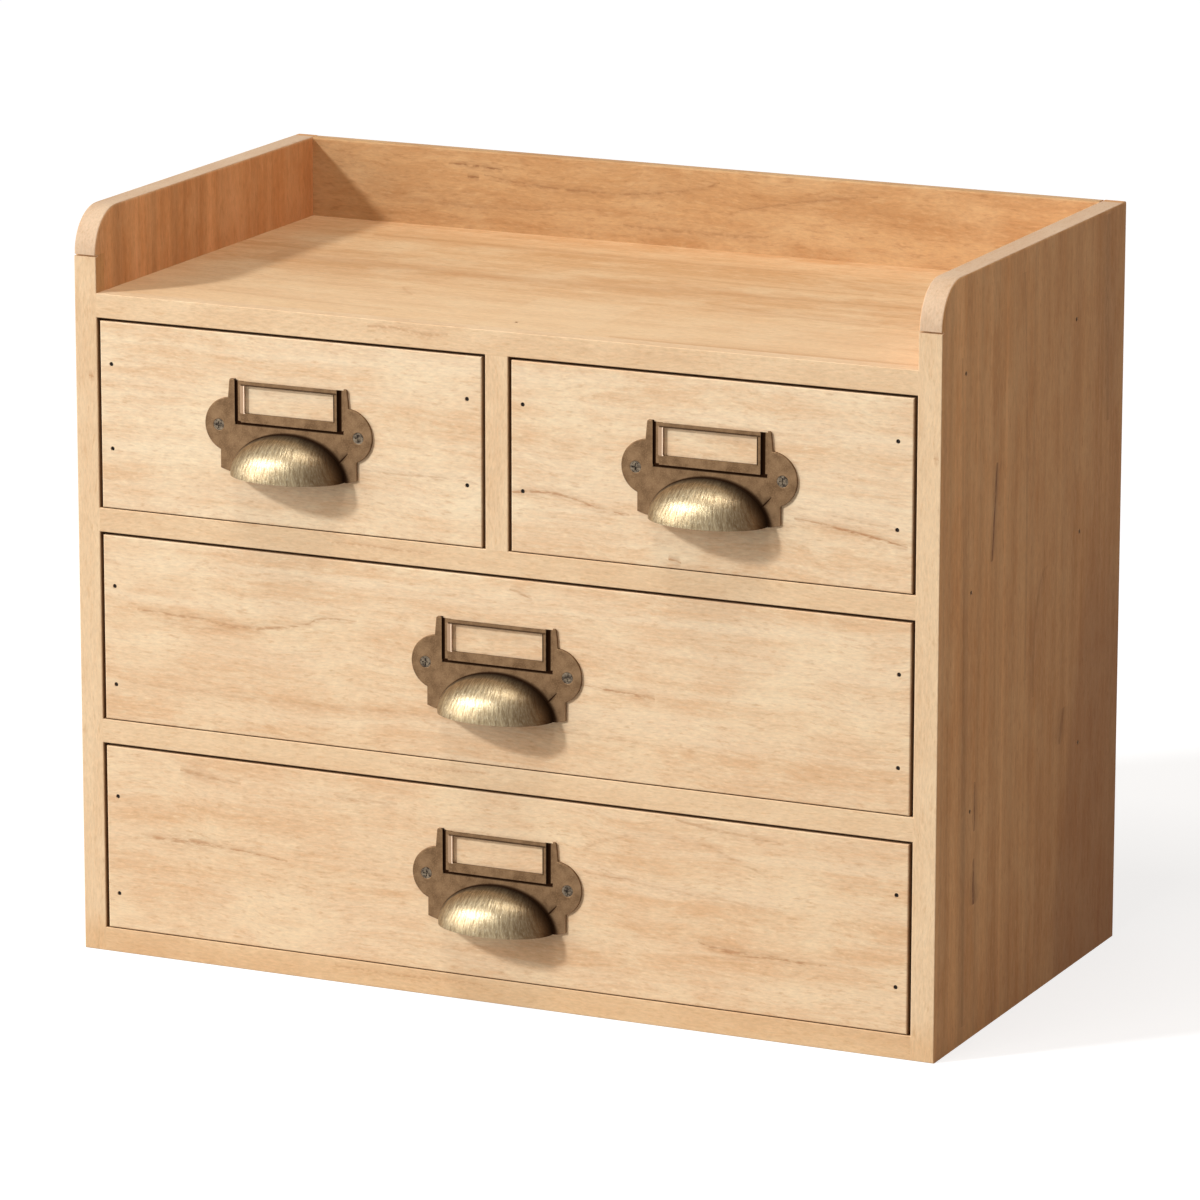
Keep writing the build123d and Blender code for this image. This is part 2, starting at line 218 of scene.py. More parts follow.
def srgb(red, green, blue):
    """A colour written as 0-255 screen values, as the linear values that shaders take."""
    def linear(v):
        v /= 255
        return v / 12.92 if v <= 0.04045 else ((v + 0.055) / 1.055) ** 2.4
    return (linear(red), linear(green), linear(blue), 1.0)


def paint(material, *names):
    for name in names:
        mesh = nodes[name].data
        mesh.materials.clear()
        mesh.materials.append(material)


# Wood
# How far the figure and the short flecks are drawn out along the grain
RUN = {"X": (0.05, 1, 1), "Y": (1, 0.05, 1), "Z": (1, 1, 0.05)}
DASH = {"X": (0.24, 1, 1), "Y": (1, 0.24, 1), "Z": (1, 1, 0.24)}


class Timber:
    """Colours of one kind of board, from its palest to its grain marks."""

    def __init__(self, base, deep, pale, line, figure=0.16, flecks=0.8, waver=3.0):
        self.base, self.deep, self.pale, self.line = base, deep, pale, line
        self.figure, self.flecks, self.waver = figure, flecks, waver


def board_colour(g, place, axis, timber, seed):
    """Colour and surface height of plain wood whose grain runs along an axis."""
    shift = (17.3 * seed, 9.1 * seed, 23.7 * seed)
    wave = g.noise(g.stretch(place, (1, 1, 1), shift), 0.022, 1.0)
    drift = g.math("MULTIPLY_ADD", wave, 2 * timber.waver, -timber.waver)
    bent = g.node("ShaderNodeVectorMath", {"operation": "ADD"})
    g.put(bent, "0", place)
    g.put(bent, "1", g.join(drift, drift, drift))
    bent = bent.outputs[0]
    figure = g.noise(g.stretch(bent, RUN[axis], shift), timber.figure, 5.0, 0.68)
    patches = [min(1.0, 2.0 * s) for s in DASH[axis]]
    blotch = g.noise(g.stretch(place, patches, shift), 0.06, 4.0, 0.65)
    fibre = g.noise(g.stretch(bent, DASH[axis], shift), 1.5, 3.0, 0.65)
    flecks = g.noise(g.stretch(bent, DASH[axis], shift[::-1]), timber.flecks, 3.0, 0.65)
    colour = g.mix(g.rescale(figure, 0.36, 0.62), timber.base, timber.deep)
    colour = g.mix(g.rescale(blotch, 0.44, 0.70, 0.0, 0.8), colour, timber.pale)
    colour = g.mix(g.rescale(flecks, 0.55, 0.75, 0.0, 0.5), colour, timber.line)
    colour = g.mix(g.rescale(flecks, 0.44, 0.28, 0.0, 0.55), colour, timber.pale)
    return colour, fibre


def wood_shader(g, colour, fibre, roughness=0.62, sheen=0.25):
    lift = g.rescale(fibre, 0.3, 0.7, 0.90, 1.07)
    shader = g.node("ShaderNodeBsdfPrincipled", Base_Color=g.multiply(colour, lift),
                    Roughness=roughness)
    shader.inputs["Specular IOR Level"].default_value = sheen
    g.tree.links.new(g.bump(fibre, 0.30, 0.00012), shader.inputs["Normal"])
    return g.finish(shader)


PALE_PINE = Timber(srgb(239, 212, 177), srgb(228, 190, 149),
                   srgb(245, 222, 186), srgb(204, 156, 110))
FRAME_PINE = Timber(srgb(233, 200, 160), srgb(226, 189, 148),
                    srgb(238, 207, 168), srgb(208, 162, 116), figure=0.10, flecks=0.9)
SIDE_PINE = Timber(srgb(214, 162, 110), srgb(198, 142, 90),
                   srgb(218, 170, 120), srgb(174, 116, 68), figure=0.13, flecks=0.7, waver=1.0)
TRAY_PINE = Timber(srgb(231, 189, 141), srgb(213, 164, 114),
                   srgb(236, 202, 158), srgb(192, 140, 92), figure=0.08, flecks=0.7, waver=2.0)
BACK_PINE = Timber(srgb(210, 160, 108), srgb(194, 141, 90),
                   srgb(217, 172, 122), srgb(166, 112, 66), figure=0.14, flecks=0.7, waver=4.0)
BOX_PINE = Timber(srgb(234, 202, 160), srgb(222, 184, 140),
                  srgb(240, 212, 174), srgb(202, 154, 106))
FRONT_STREAK = srgb(180, 124, 78)
FRAME_STREAK = srgb(186, 128, 84)
SIDE_STREAK = srgb(110, 66, 34)
TRAY_STREAK = srgb(196, 142, 92)
TRAY_PALE = srgb(238, 206, 164)
BACK_STREAK = srgb(142, 90, 50)
# Factors on a colour already painted
WARMER_LOW = (0.955, 0.90, 0.85, 1)
LOW_RAIL = (0.94, 0.87, 0.79, 1)
# painted shade in the gaps round the drawer fronts and inside the frame's openings
FRONT_GAP_SHADE = (0.5, 0.42, 0.36, 1)
OPENING_GAP_SHADE = (0.34, 0.27, 0.22, 1)
SIDE_REAR = (0.62, 0.52, 0.46, 1)
# painted shade on the right side, deepening towards its rear and its foot
SIDE_PAINTED_SHADE = (0.40, 0.34, 0.30, 1)
# painted light, lifting the sides' inner faces round the tray paler and cooler
TRAY_WALL_PAINTED_LIGHT = (1.15, 1.16, 1.30, 1)
SIDE_RIM = (0.83, 0.82, 0.88, 1)
BACK_TINT = (0.93, 1.0, 1.07, 1)

# Grain marks. Each says how strong it is, then its points, in millimetres.
# On the drawer fronts: (x, z, half width)
FRONT_MARKS = (
    (0.75, (5, 190.2, 0.2), (12, 191.2, 0.8), (20, 191.7, 0.7), (30, 190.2, 0.8),
     (42, 187.4, 0.6), (52, 186.4, 0.2)),
    (0.85, (115, 191.4, 0.2), (124, 190.6, 0.6), (131, 189.6, 1.0), (140, 188.4, 0.9),
     (148, 187, 0.9), (158, 185, 0.4)),
    (0.35, (126, 194, 0.2), (140, 192.8, 0.8), (155, 190.6, 0.3)),
    (0.80, (67, 172.2, 0.2), (69, 171.6, 1.0), (72, 171, 0.3)),
    (0.35, (-60, 193.4, 0.2), (-40, 192.4, 0.8), (-22, 192.9, 0.7), (-7, 191, 0.2)),
    (0.60, (-146, 132, 0.2), (-134, 131.4, 0.7), (-118, 130.8, 0.8), (-106, 129.5, 1.1),
     (-90, 130.8, 0.8), (-76, 133.6, 0.6), (-68, 136.4, 0.6), (-56, 136.4, 0.2)),
    (0.35, (-138, 129, 0.2), (-120, 127.6, 0.8), (-106, 128, 0.2)),
    (0.80, (32, 122.8, 0.2), (44, 122, 0.5), (53, 121.4, 0.8), (58, 120.9, 1.0),
     (62, 120.4, 0.2)),
    (0.55, (5, 154.8, 0.2), (9, 153.8, 0.8), (14, 151.8, 0.2)),
    (0.28, (-150, 104, 0.2), (-90, 103.4, 0.9), (-20, 104.6, 0.8), (60, 103.6, 0.2)),
    (0.70, (-146, 46.4, 0.2), (-134, 46, 1.2), (-124, 46.3, 1.7), (-114, 45.8, 0.9),
     (-98, 44.6, 0.5), (-85, 43.4, 0.2)),
    (0.55, (-129, 73, 0.3), (-121, 72.2, 1.4), (-114, 71.4, 0.6), (-104, 70.4, 0.2)),
    (0.75, (79, 33.4, 0.2), (88, 31.7, 1.0), (97, 31, 1.3), (108, 31.1, 0.9), (118, 30.6, 0.8),
     (129, 30.8, 0.2)),
    (0.50, (34, 54, 0.2), (46, 53.2, 0.6), (56, 53.6, 0.2)),
    (0.50, (70, 77.4, 0.2), (82, 75.8, 0.9), (96, 74.6, 0.7), (112, 73.2, 0.2)),
    (0.35, (-66, 71, 0.2), (-52, 69.8, 1.2), (-40, 70.4, 0.2)),
    (0.28, (34, 62, 0.3), (46, 67.4, 0.9), (60, 70.4, 0.8), (76, 70, 0.9), (92, 65.6, 0.8),
     (108, 59, 0.3)),
    (0.28, (40, 56.6, 0.3), (60, 51.8, 0.8), (84, 50.4, 0.9), (112, 48, 0.3)),
)
# On the face frame: (x, z, half width)
FRAME_MARKS = (
    (0.45, (-51, 245.6, 0.3), (-40, 245.9, 0.8), (-30, 244.6, 0.9), (-19, 245, 0.3)),
    (0.40, (-66, 164.6, 0.3), (-52, 165.2, 0.7), (-38, 164.7, 0.6), (-26, 165.4, 0.3)),
    (0.40, (-43, 86, 0.3), (-28, 85.2, 0.8), (-14, 85.6, 0.6), (-3, 86, 0.3)),
    (0.40, (-66, 6.8, 0.3), (-40, 6, 0.8), (-20, 6.6, 0.7), (-6, 6, 0.3)),
    (0.75, (-164.6, 217.6, 0.3), (-163.6, 217.4, 0.8), (-162.6, 217, 0.3)),
    (0.75, (167.2, 217.6, 0.3), (168.2, 217.2, 0.9), (169.2, 216.8, 0.3)),
)
# On the right side: (z, y, half width)
SIDE_MARKS = (
    (0.95, (171, -39.7, 0.2), (178, -38.8, 0.9), (186, -38, 0.7), (198, -36.7, 0.9),
     (206, -36, 0.2)),
    (0.70, (76, -53.2, 0.3), (84, -53, 0.9), (94, -53.2, 0.3)),
    (0.90, (49, -53, 0.3), (52, -52.8, 1.6), (57, -53.2, 1.1), (66, -53.4, 0.3)),
    (0.30, (6, -62, 1.0), (50, -63, 2.4), (100, -64, 2.6), (160, -66, 1.2), (250, -70, 0.6)),
    (0.35, (200, 73, 1.2), (230, 71, 3.2), (262, 70, 3.0), (277, 70, 2.4)),
    (0.45, (88, 29, 0.6), (95, 31, 2.4), (101, 33, 1.2)),
    (0.30, (112, 2, 0.8), (130, 2, 1.8), (145, 4.5, 1.6), (156, 10, 1.2), (158, 16, 0.5)),
    (0.25, (120, -6, 0.6), (190, -7, 1.4), (270, -12, 1.0)),
)
# On the tray floor: (x, y, half width)
FLOOR_MARKS = (
    (0.60, (-122, 58, 1.0), (-70, 57, 3.0), (0, 56, 3.0), (68, 58, 0.8)),
    (0.55, (-38, 29.8, 0.8), (10, 29.4, 2.4), (58, 27, 2.2), (96, 27.6, 0.8)),
    (0.60, (-140, 8, 3.0), (-90, 5, 7.0), (-40, 2, 6.0), (60, 8, 3.0), (130, 12, 1.0)),
    (0.45, (46, -10, 1.0), (66, -16, 2.4), (90, -21, 2.2), (120, -24, 0.8)),
    (0.60, (40, -80, 0.6), (90, -81.4, 1.8), (158, -80.6, 0.8)),
    (0.50, (-66, -30, 0.5), (-61, -37, 2.0), (-56, -42, 0.5)),
    (0.40, (-128, -64, 0.6), (-90, -67, 2.4), (-50, -70, 0.6)),
)
# On the front of the back panel: (x, z, half width)
BACK_MARKS = (
    (0.90, (-103, 272.4, 0.2), (-96, 272.9, 0.6), (-88, 272.5, 0.7), (-80, 272, 0.2)),
    (0.80, (-95, 268.6, 0.2), (-92.5, 268.4, 0.7), (-90, 268.4, 0.2)),
    (0.55, (-88, 269.6, 0.2), (-60, 266.8, 0.7), (-34, 266.6, 0.8), (-12, 268.6, 0.7),
     (10, 274, 0.2)),
    (0.45, (18, 264, 0.3), (46, 269.6, 0.8), (74, 273.6, 0.3)),
    (0.45, (-30, 255, 0.3), (0, 254.2, 1.0), (30, 255.2, 0.3)),
    (0.35, (-120, 258, 0.3), (-90, 257, 0.9), (-60, 259, 0.3)),
)


def marks_mask(g, u, v, jitter, marks):
    rough = g.math("ADD", v, g.rescale(jitter, 0.3, 0.7, -0.3, 0.3))
    return g.most([g.stroke(u, rough, points, strength) for strength, *points in marks])


def facing_side(g, low=0.6, high=0.9):
    """1 on faces that look left or right, 0 on those that don't."""
    return g.rescale(g.facing(0), low, high, smooth=True)


def darker_edges(g, y, colour, tint):
    """Painted shade: darken the edges of a front or opening, from just behind its front face,
    where the gaps between the parts stand in shade.
    """
    edge = g.rescale(g.facing(1), 0.6, 0.3, smooth=True)
    edge = g.times(edge, g.above(y, FRONT_Y + 0.5))
    return g.mix(edge, colour, g.multiply(colour, tint))


def plain_wood(name, axis, timber, seed):
    g = Graph(name)
    colour, fibre = board_colour(g, g.place(), axis, timber, seed)
    return wood_shader(g, colour, fibre)


def front_wood_material(name):
    """Drawer fronts: pale, blotchy, with thin wavy brown marks, and a shade warmer lower down."""
    g = Graph(name)
    place = g.place()
    x, y, z = g.split(place)
    colour, fibre = board_colour(g, place, "X", PALE_PINE, 1.0)
    warmer = g.rescale(z, 215.0, 60.0, 0.0, 1.0, smooth=True)
    colour = g.multiply(colour, g.mix(warmer, (1, 1, 1, 1), WARMER_LOW))
    soft = g.noise(g.stretch(place, (0.22, 1, 1)), 1.1, 3.0, 0.65)
    mask = marks_mask(g, x, z, soft, FRONT_MARKS)
    streaks = g.times(mask, g.rescale(soft, 0.4, 0.58, 0.35, 1.0))
    colour = g.mix(streaks, colour, FRONT_STREAK)
    # painted shade on the front's edges, in the gaps round it
    colour = darker_edges(g, y, colour, FRONT_GAP_SHADE)
    return wood_shader(g, colour, fibre)


def frame_wood_material(name):
    """Face frame: rails with level grain, stiles and mullion with upright grain."""
    g = Graph(name)
    place = g.place()
    x, y, z = g.split(place)
    level, level_fibre = board_colour(g, place, "X", FRAME_PINE, 2.0)
    upright, upright_fibre = board_colour(g, place, "Z", FRAME_PINE, 2.6)
    stile = g.above(g.size(x), INNER_X)
    mullion = g.times(g.below(g.size(x), MULLION_HALF), g.above(z, MULLION_LOW),
                      g.below(z, MULLION_HIGH))
    pick = g.most([stile, mullion])
    colour = g.mix(pick, level, upright)
    fibre = g.math("ADD", g.times(level_fibre, g.rest(pick)), g.times(upright_fibre, pick))
    soft = g.noise(g.stretch(place, (0.5, 1, 1)), 1.2, 2.0)
    mask = marks_mask(g, x, z, soft, FRAME_MARKS)
    streaks = g.times(mask, g.rescale(soft, 0.35, 0.6, 0.2, 1.0))
    colour = g.mix(streaks, colour, FRAME_STREAK)
    low = g.rescale(z, 16.0, 5.0, smooth=True)
    colour = g.mix(low, colour, g.multiply(colour, LOW_RAIL))
    # painted shade on the faces inside the openings, behind the frame's front face
    inside = g.times(g.below(g.size(x), INNER_X + 0.5), g.below(z, TRAY_Z),
                     g.above(z, OPENINGS_LOW))
    colour = g.mix(inside, colour, darker_edges(g, y, colour, OPENING_GAP_SHADE))
    outer = side_colour(g, place)[0]
    flank = g.times(facing_side(g), g.above(g.size(x), INNER_X - 0.2), g.rest(inside))
    colour = g.mix(flank, colour, outer)
    return wood_shader(g, colour, fibre, sheen=0.15)


def side_colour(g, place):
    """Strips glued edge to edge, with a crack and streaks outside on the right; and the fibre."""
    x, y, z = g.split(place)
    colour, fibre = board_colour(g, place, "Z", SIDE_PINE, 3.0)
    strip = g.noise(g.stretch(place, (0.05, 1, 0.004), (0, 4, 0)), 0.11, 2.0, 0.7)
    striped = g.rescale(y, 20.0, -20.0, 0.35, 1.0, smooth=True)
    tone = g.math("MULTIPLY_ADD", g.math("SUBTRACT", strip, 0.5), g.times(striped, 0.85), 1.0)
    colour = g.multiply(colour, g.join(tone, tone, tone))
    right = g.above(x, OUTER_X)
    soft = g.noise(g.stretch(place, (1, 1, 0.3)), 0.9, 2.0)
    mask = g.times(marks_mask(g, z, y, soft, SIDE_MARKS), right)
    streaks = g.times(mask, g.rescale(soft, 0.3, 0.6, 0.6, 1.0))
    colour = g.mix(streaks, colour, SIDE_STREAK)
    edge = g.rescale(z, 30.0, 160.0, 25.0, 55.0)
    rear = g.rescale(g.math("SUBTRACT", y, edge), -4.0, 6.0, 0.0, 1.0, smooth=True)
    rear = g.times(rear, g.rescale(z, 175.0, 110.0, 0.0, 1.0, smooth=True), right, 0.5)
    colour = g.mix(rear, colour, g.multiply(colour, SIDE_REAR))
    # painted shade: the right side darkens towards its rear and its foot, where less light falls
    fall = g.math("ADD", g.rescale(y, -60.0, 88.0, 0.0, 0.30), g.rescale(z, 270.0, 0.0, 0.0, 0.22))
    fall = g.times(fall, right)
    return g.mix(fall, colour, g.multiply(colour, SIDE_PAINTED_SHADE)), fibre


def side_wood_material(name):
    """Case sides: glued strips on the faces, with painted light that lifts the inner faces round
    the tray, and lighter on the narrow edges.
    """
    g = Graph(name)
    place = g.place()
    x, y, z = g.split(place)
    colour, fibre = side_colour(g, place)
    rim = g.times(g.rest(facing_side(g, 0.35, 0.75)), g.below(y, REAR_Y))
    pale = board_colour(g, place, "Y", FRAME_PINE, 3.5)[0]
    # painted light: the inner faces round the tray are lifted paler and cooler
    tray = g.times(g.above(z, TRAY_Z), g.below(g.size(x), INNER_X + 1.0))
    colour = g.mix(tray, colour, g.multiply(colour, TRAY_WALL_PAINTED_LIGHT))
    colour = g.mix(rim, colour, g.multiply(pale, SIDE_RIM))
    return wood_shader(g, colour, fibre, sheen=0.12)


def tray_wood_material(name):
    """Tray floor: paler towards the front, with two paler blocks and bands of brown."""
    g = Graph(name)
    place = g.place()
    x, y, _ = g.split(place)
    colour, fibre = board_colour(g, place, "X", TRAY_PINE, 4.0)
    pale_block = g.times(g.between(x, -12.0, 30.0, 1.5), g.between(y, -90.0, -26.0, 4.0))
    second_block = g.times(g.between(x, 60.0, 140.0, 6.0), g.between(y, -62.0, -44.0, 3.0))
    front = g.rescale(y, 0.0, -60.0, 0.0, 0.45, smooth=True)
    pale = g.most([g.times(pale_block, 0.55), g.times(second_block, 0.35), front])
    colour = g.mix(pale, colour, TRAY_PALE)
    soft = g.noise(g.stretch(place, (0.3, 1, 1)), 0.25, 3.0)
    mask = marks_mask(g, x, y, soft, FLOOR_MARKS)
    colour = g.mix(g.times(mask, 0.75), colour, TRAY_STREAK)
    return wood_shader(g, colour, fibre)


def back_wood_material(name):
    """Back panel: long level grain with arched lines and two small dark marks."""
    g = Graph(name)
    place = g.place()
    x, _, z = g.split(place)
    colour, fibre = board_colour(g, place, "X", BACK_PINE, 5.0)
    soft = g.noise(g.stretch(place, (0.4, 1, 1)), 0.8, 2.0)
    mask = marks_mask(g, x, z, soft, BACK_MARKS)
    streaks = g.times(mask, g.rescale(soft, 0.38, 0.6, 0.3, 0.9))
    colour = g.mix(streaks, colour, BACK_STREAK)
    colour = g.multiply(colour, BACK_TINT)
    return wood_shader(g, colour, fibre)


fronts = front_wood_material("front_wood")
frame_wood = frame_wood_material("frame_wood")
side_wood = side_wood_material("side_wood")
tray_wood = tray_wood_material("tray_wood")
back_wood = back_wood_material("back_wood")
shelf_wood = plain_wood("board_wood", "X", BOX_PINE, 6.0)
divider_wood = plain_wood("divider_wood", "Y", BOX_PINE, 6.5)
box_side_wood = plain_wood("box_side_wood", "Y", BOX_PINE, 7.0)
box_back_wood = plain_wood("box_back_wood", "X", BOX_PINE, 8.0)
panel_wood = plain_wood("thin_panel_wood", "X", TRAY_PINE, 9.0)

paint(frame_wood, "face_frame")
paint(side_wood, "left_side", "right_side")
paint(tray_wood, "tray_floor")
paint(back_wood, "back_panel")
paint(shelf_wood, "upper_shelf", "lower_shelf", "bottom_board")
paint(divider_wood, "centre_divider")
for d in DRAWERS:
    paint(fronts, f"{d}_drawer_front")
    paint(box_side_wood, f"{d}_drawer_left_side", f"{d}_drawer_right_side")
    paint(box_back_wood, f"{d}_drawer_back")
    paint(panel_wood, f"{d}_drawer_bottom")


# Metal
PLATE_LIGHT, PLATE_DARK, PLATE_WORN = srgb(128, 101, 74), srgb(98, 74, 52), srgb(156, 126, 92)
CUP_DARK, CUP_LIGHT, CUP_SHINE = srgb(118, 100, 74), srgb(168, 150, 118), srgb(206, 194, 166)
CUP_PAINTED_SHADE = srgb(74, 48, 26)
# dark patina, also used for painted shade and painted shadow
PATINA_AND_PAINTED_SHADE = srgb(40, 22, 10)
# painted highlight on the card frame's left bar
BAR_PAINTED_HIGHLIGHT, BAR_EDGE_PAINTED_HIGHLIGHT = srgb(162, 134, 108), srgb(232, 208, 184)
CREASE = ((17.8, -13, 0.5), (19.2, -11, 1.5), (20.6, -9.6, 0.9), (22, -8.2, 0.7), (24, -6, 0.2))


def cup_brushing(g, u, w, above):
    """Coarse and fine strokes over the cup, which spread towards its rim."""
    turn = g.math("ARCTAN2", above, g.math("MAXIMUM", w, 0.01))
    spread = g.math("MULTIPLY", u, g.math("MULTIPLY_ADD", turn, 0.22, 0.85))
    coarse = g.noise(g.join(spread, g.math("MULTIPLY", turn, 1.6), 0.0), 1.15, 4.0, 0.7)
    fine = g.noise(g.join(spread, g.math("MULTIPLY", turn, 2.5), 5.0), 3.2, 2.0, 0.6)
    return coarse, fine


def cup_foot(g, u, w, above):
    """Mask of the dark patina round the foot of the cup, with painted shadow that broadens it on
    the right.
    """
    ring = g.math("ADD", g.math("POWER", g.math("DIVIDE", u, CUP_HALF_WIDTH), 2.0),
                  g.math("POWER", g.math("DIVIDE", above, CUP_RADIUS), 2.0))
    off = g.math("MULTIPLY", g.math("SUBTRACT", g.math("SQRT", ring), 0.995), 17.0)
    shadow_widening = g.rescale(u, -18.0, 14.0, 0.5, 1.6, smooth=True)
    foot = g.rescale(g.math("DIVIDE", g.size(off), shadow_widening), 0.35, 1.25, 1.0, 0.0, smooth=True)
    return g.times(foot, g.rescale(w, 1.0, 9.0, 1.0, 0.0), 0.96)


def card_frame_lines(g, u, v, w):
    """Masks of painted shade in the slits beside the card frame and in the groove under it, and of
    dark lines along the lower half of its top bar and the inner edge of its right bar.
    """
    across = g.size(g.math("SUBTRACT", u, CARD_OFFSET))
    # painted shade: near-black in the slits and in the groove under the card frame
    slits = g.most([g.between(u, -22.0, -20.5, 0.1), g.between(u, 19.6, 21.4, 0.1)])
    slits = g.times(slits, g.between(v, 1.0, 17.6, 0.2), g.rescale(w, 0.84, 0.88, 1.0, 0.0))
    groove = g.times(g.between(v, 0.75, 2.0, 0.12), g.rescale(across, 21.8, 22.0, 1.0, 0.0),
                     g.rescale(w, 1.1, 1.25, 1.0, 0.0))
    top = g.times(g.between(v, 15.1, 15.75, 0.15), g.rescale(across, 19.2, 19.4, 1.0, 0.0), 0.75)
    right = g.times(g.between(u, 18.45, 19.0, 0.12), g.between(v, 5.0, 15.4, 0.2), 0.8)
    return [slits, groove, top, right]


def pull_metal(name, centre):
    """Aged brass: brown plate, brushed cup with painted shade on its right, near-black painted
    shade in the slits and the groove, dark patina with painted shadow round the cup's foot, and a
    painted highlight on the card frame's left bar.
    """
    g = Graph(name)
    # u to the right, w out from the drawer front, v up, from the pull's centre
    local = g.stretch(g.place(), (1, -1, 1), (-centre[0], FRONT_Y, -centre[1]))
    u, w, v = g.split(local)
    above = g.math("ADD", v, CUP_RIM)
    cloud = g.noise(local, 0.22, 4.0, 0.6)
    speck = g.noise(local, 2.2, 3.0, 0.6)
    plate = g.mix(g.rescale(cloud, 0.35, 0.68), PLATE_LIGHT, PLATE_DARK)
    plate = g.mix(g.rescale(speck, 0.5, 0.75, 0.0, 0.5), plate, PLATE_WORN)
    coarse, fine = cup_brushing(g, u, w, above)
    cup = g.mix(g.rescale(coarse, 0.36, 0.62), CUP_DARK, CUP_LIGHT)
    cup = g.mix(g.rescale(fine, 0.5, 0.72, 0.0, 0.45), cup, CUP_SHINE)
    # painted shade: the cup darkens towards its right side, away from the key
    cup = g.mix(g.rescale(u, 3.0, 21.0, 0.0, 0.86, smooth=True), cup, CUP_PAINTED_SHADE)
    beyond_plate = g.rescale(w, 0.94, 1.0)
    is_cup = g.times(beyond_plate, g.below(v, 0.0))
    brass = g.mix(is_cup, plate, cup)
    crease = g.times(g.stroke(u, v, CREASE), g.rest(beyond_plate))
    # dark patina round the cup's foot and in the crease, with painted shade in the slits and
    # groove and painted shadow on the foot's right
    dark = g.most([cup_foot(g, u, w, above), crease] + card_frame_lines(g, u, v, w))
    brass = g.mix(dark, brass, PATINA_AND_PAINTED_SHADE)
    # the card frame's left bar gets a painted highlight, brightest on its inner edge
    beside_window = g.between(v, 5.0, 15.2, 0.2)
    bar_highlight = g.times(g.between(u, -19.7, -17.3, 0.1), beside_window, 0.9)
    brass = g.mix(bar_highlight, brass, BAR_PAINTED_HIGHLIGHT)
    edge = g.times(g.between(u, -17.75, -17.3, 0.05), beside_window)
    brass = g.mix(edge, brass, BAR_EDGE_PAINTED_HIGHLIGHT)
    rough = g.mix(is_cup, (0.52, 0.52, 0.52, 1), (0.36, 0.36, 0.36, 1))
    rough = g.mix(dark, rough, (0.7, 0.7, 0.7, 1))
    shader = g.node("ShaderNodeBsdfPrincipled", Base_Color=brass, Roughness=rough, Metallic=1.0)
    height = g.math("ADD", g.times(coarse, is_cup), g.times(speck, 0.25))
    height = g.math("SUBTRACT", height, g.times(crease, 0.8))
    g.tree.links.new(g.bump(height, 0.5, 0.00035), shader.inputs["Normal"])
    return g.finish(shader)


def dull_steel(name, bright, dark, roughness, metallic=1.0):
    g = Graph(name)
    worn = g.noise(g.place(), 0.9, 4.0, 0.65)
    tone = g.mix(g.rescale(worn, 0.38, 0.62), bright, dark)
    shader = g.node("ShaderNodeBsdfPrincipled", Base_Color=tone, Roughness=roughness,
                    Metallic=metallic)
    g.tree.links.new(g.bump(worn, 0.3, 0.0001), shader.inputs["Normal"])
    return g.finish(shader)


screw_steel = dull_steel("screw_steel", srgb(128, 114, 96), srgb(56, 48, 42), 0.45)
brad_steel = dull_steel("brad_steel", srgb(46, 36, 30), srgb(26, 20, 17), 0.7, 0.6)
for d in DRAWERS:
    paint(pull_metal(f"{d}_pull_brass", PULL_CENTRES[d]), f"{d}_pull")
    paint(screw_steel, f"{d}_pull_screws")
    paint(brad_steel, f"{d}_drawer_brads")
paint(brad_steel, "case_side_brads", "back_panel_brads", "tray_floor_brad")


# Camera
def direction(azimuth, elevation):
    """From the object towards a viewer or lamp; azimuth 0 is in front, positive to the right."""
    a, e = radians(azimuth), radians(elevation)
    return Vector((sin(a) * cos(e), -cos(a) * cos(e), sin(e)))


def make_camera():
    data = bpy.data.cameras.new("camera")
    camera = bpy.data.objects.new("camera", data)
    bpy.context.scene.collection.objects.link(camera)
    back = direction(VIEW_AZIMUTH, VIEW_ELEVATION)
    right = Vector((0, 0, 1)).cross(back).normalized()
    up = back.cross(right)
    turn = Matrix.Rotation(radians(-VIEW_ROLL), 3, back)
    right, up = turn @ right, turn @ up
    place = Vector(VIEW_TARGET) + back * VIEW_DISTANCE
    axes = Matrix((right, up, back)).transposed().to_4x4()
    camera.matrix_world = Matrix.Translation(place) @ axes
    data.sensor_width = SENSOR
    data.lens = LENS
    data.shift_x, data.shift_y = SHIFT
    data.clip_start = 0.1
    data.clip_end = 50.0
    bpy.context.scene.camera = camera


# Light and floor
def make_lamp(name, kind, place, aim, **settings):
    data = bpy.data.lights.new(name, kind)
    for key, value in settings.items():
        setattr(data, key, value)
    lamp = bpy.data.objects.new(name, data)
    bpy.context.scene.collection.objects.link(lamp)
    lamp.location = place
    lamp.rotation_mode = "QUATERNION"
    lamp.rotation_quaternion = (Vector(place) - Vector(aim)).to_track_quat("Z", "Y")
    return lamp


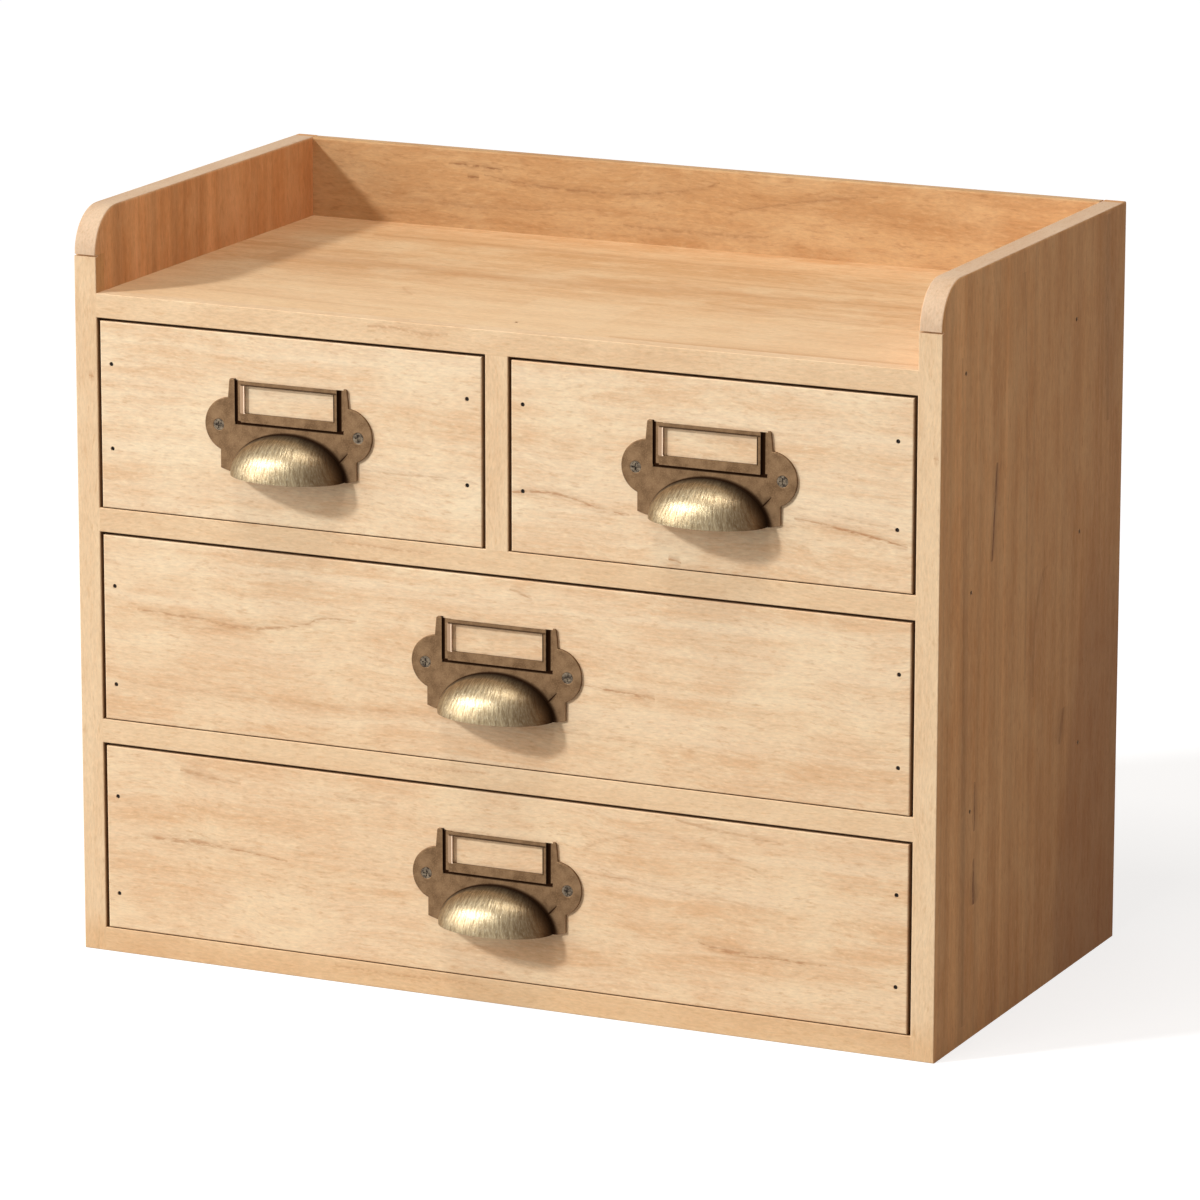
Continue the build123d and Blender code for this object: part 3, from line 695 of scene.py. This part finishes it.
def seen_directly(tree):
    """1 for rays from the camera or off a mirror, 0 for diffuse light."""
    path = tree.nodes.new("ShaderNodeLightPath")
    total = path.outputs["Is Camera Ray"]
    for other in ("Is Glossy Ray", "Is Transmission Ray"):
        add = tree.nodes.new("ShaderNodeMath")
        add.operation = "ADD"
        add.use_clamp = True
        tree.links.new(total, add.inputs[0])
        tree.links.new(path.outputs[other], add.inputs[1])
        total = add.outputs[0]
    return total


def make_world():
    world = bpy.data.worlds.new("surround")
    bpy.context.scene.world = world
    world.use_nodes = True
    tree = world.node_tree
    background = tree.nodes["Background"]
    level = tree.nodes.new("ShaderNodeMix")
    level.data_type = "RGBA"
    level.inputs[6].default_value = tuple(SURROUND * c for c in SURROUND_COLOUR) + (1.0,)
    level.inputs[7].default_value = (1.0, 1.0, 1.0, 1.0)
    tree.links.new(seen_directly(tree), level.inputs[0])
    tree.links.new(level.outputs[2], background.inputs["Color"])
    background.inputs["Strength"].default_value = 1.0


def make_floor():
    bpy.ops.mesh.primitive_plane_add(size=FLOOR_SIDE, location=(0, 0, 0))
    floor = bpy.context.object
    floor.name = "floor"
    g = Graph("floor")
    matt = g.node("ShaderNodeBsdfDiffuse", Color=(FLOOR_ALBEDO,) * 3 + (1,))
    white = g.node("ShaderNodeEmission", Color=(1, 1, 1, 1), Strength=FLOOR_GLOW)
    shown = g.node("ShaderNodeAddShader")
    g.tree.links.new(matt.outputs[0], shown.inputs[0])
    g.tree.links.new(white.outputs[0], shown.inputs[1])
    pick = g.node("ShaderNodeMixShader")
    g.tree.links.new(seen_directly(g.tree), pick.inputs[0])
    g.tree.links.new(matt.outputs[0], pick.inputs[1])
    g.tree.links.new(shown.outputs[0], pick.inputs[2])
    g.finish(pick)
    floor.data.materials.append(g.material)


make_camera()
make_world()
make_floor()
key_from = KEY_DISTANCE * direction(-KEY_LEFT, KEY_ELEVATION)
make_lamp("key", "SUN", key_from, (0, 0, 0), energy=KEY_LEVEL * pi, angle=radians(KEY_ANGLE),
          color=KEY_COLOUR)
for box_name, azimuth, elevation, distance, side, level, colour in SOFT_BOXES:
    place = Vector(SOFT_BOX_AIM) + distance * direction(azimuth, elevation)
    make_lamp(box_name, "AREA", place, SOFT_BOX_AIM, shape="SQUARE", size=side,
              energy=level * (pi * distance) ** 2, color=colour)
bpy.context.scene.view_settings.view_transform = "Standard"
